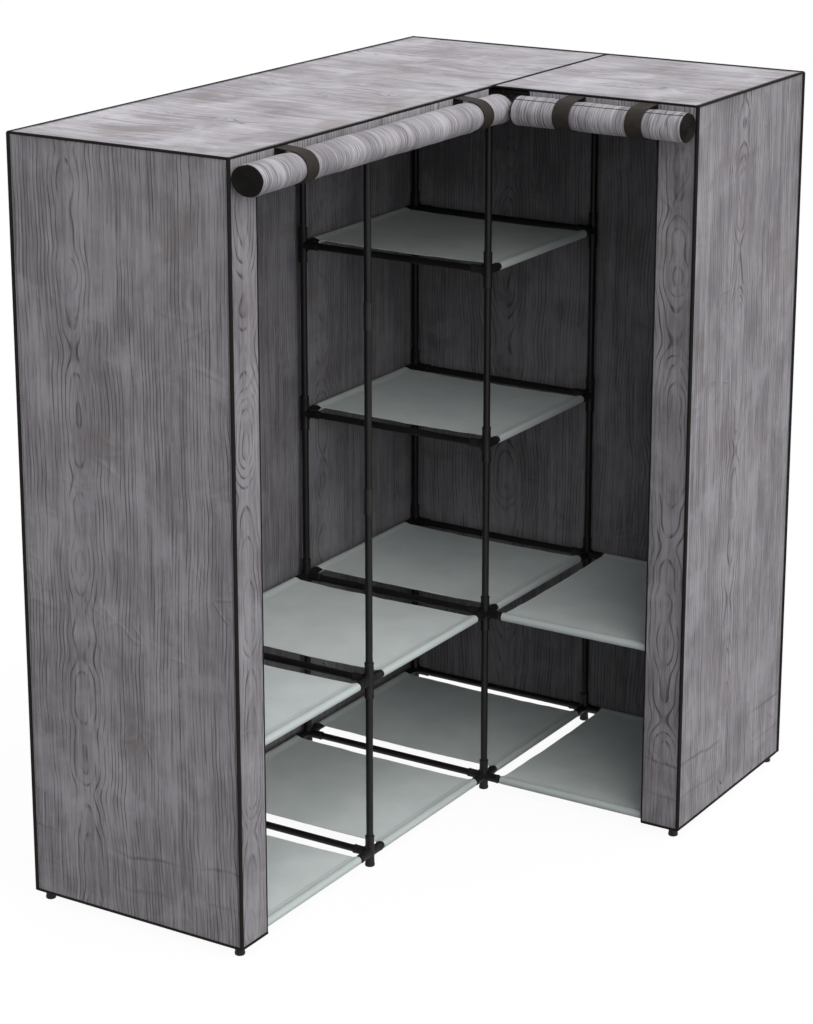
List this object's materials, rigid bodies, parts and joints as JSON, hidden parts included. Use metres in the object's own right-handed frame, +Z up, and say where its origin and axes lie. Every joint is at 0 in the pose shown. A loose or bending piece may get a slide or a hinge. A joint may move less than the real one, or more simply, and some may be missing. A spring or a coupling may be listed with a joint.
{
  "type": "portable fabric wardrobe",
  "caption": "L-shaped corner wardrobe: steel tube frame, fabric shelves and hanging rails in a wood-grain fabric cover with roll-up front curtains.",
  "frame": {"origin": "centre of the rectangle round the whole footprint, on the floor under the feet", "axes": "+Z up; +Y towards the long back wall, so the long left wing lies along X at the back; +X towards the short right wing, which runs forward along -Y; the open notch of the L faces -X and -Y"},
  "size_m": [1.549, 1.046, 1.69],
  "materials": {
    "tube": "black powder coat, with matt black moulded connectors and feet",
    "shelf": "pale grey-green nonwoven cloth",
    "cover": "nonwoven cloth with a grey wood-grain print and black piping",
    "curtain": "nonwoven cloth with a grey wood-grain print, rolled up",
    "strap": "dark webbing"
  },
  "bodies": {
    "wardrobe": {"corner_post": "tube", "left_back_inner_post": "tube", "left_back_middle_post": "tube", "left_back_end_post": "tube", "right_back_inner_post": "tube", "inner_corner_post": "tube", "left_front_middle_post": "tube", "left_front_end_post": "tube", "right_back_end_post": "tube", "right_front_end_post": "tube", "bottom_left_end_cross_tube": "tube", "bottom_left_middle_cross_tube": "tube", "bottom_corner_left_cross_tube": "tube", "bottom_corner_back_cross_tube": "tube", "bottom_right_end_cross_tube": "tube", "middle_left_end_cross_tube": "tube", "middle_left_middle_cross_tube": "tube", "middle_corner_left_cross_tube": "tube", "middle_corner_back_cross_tube": "tube", "middle_right_end_cross_tube": "tube", "third_corner_left_cross_tube": "tube", "third_corner_back_cross_tube": "tube", "fourth_corner_left_cross_tube": "tube", "fourth_corner_back_cross_tube": "tube", "top_back_rail": "tube", "top_front_rail": "tube", "top_right_frame": "tube", "top_left_end_cross_tube": "tube", "top_left_middle_cross_tube": "tube", "top_corner_left_cross_tube": "tube", "top_corner_back_cross_tube": "tube", "left_end_hanging_rail": "tube", "left_middle_hanging_rail": "tube", "right_hanging_rail": "tube", "bottom_shelf_corner": "shelf", "bottom_shelf_left_middle": "shelf", "bottom_shelf_left_end": "shelf", "bottom_shelf_right_end": "shelf", "middle_shelf_corner": "shelf", "middle_shelf_left_middle": "shelf", "middle_shelf_left_end": "shelf", "middle_shelf_right_end": "shelf", "third_shelf_corner": "shelf", "fourth_shelf_corner": "shelf", "left_top_panel": "cover", "right_top_panel": "cover", "left_back_wall": "cover", "right_back_wall": "cover", "left_end_panel": "cover", "right_end_panel": "cover", "left_front_strip": "cover", "right_front_strip": "cover", "left_strap_1": "strap", "left_strap_2": "strap", "right_strap_1": "strap", "right_strap_2": "strap"},
    "left_curtain": {"left_curtain_web": "curtain"},
    "left_roll": {"left_curtain_roll": "curtain"},
    "right_curtain": {"right_curtain_web": "curtain"},
    "right_roll": {"right_curtain_roll": "curtain"}
  },
  "joints": [
    {"name": "left_curtain_drop", "type": "slide", "parent": "wardrobe", "child": "left_curtain", "axis": [0, 0, -1], "range_m": [0, 1.592], "deforming": ["left_curtain_web", "left_strap_1", "left_strap_2"]},
    {"name": "left_roll_spin", "type": "hinge", "parent": "left_curtain", "child": "left_roll", "pos_m": [-0.29, -0.0618, 1.65], "axis": [1, 0, 0], "range_deg": [0, 2520]},
    {"name": "right_curtain_drop", "type": "slide", "parent": "wardrobe", "child": "right_curtain", "axis": [0, 0, -1], "range_m": [0, 1.592], "deforming": ["right_curtain_web", "right_strap_1", "right_strap_2"]},
    {"name": "right_roll_spin", "type": "hinge", "parent": "right_curtain", "child": "right_roll", "pos_m": [0.1897, -0.3, 1.65], "axis": [0, -1, 0], "range_deg": [0, 2520]}
  ],
  "couplings": [
    {"joint": "left_roll_spin", "follows": "left_curtain_drop", "rad_per_m": 27.627},
    {"joint": "right_roll_spin", "follows": "right_curtain_drop", "rad_per_m": 27.627}
  ]
}
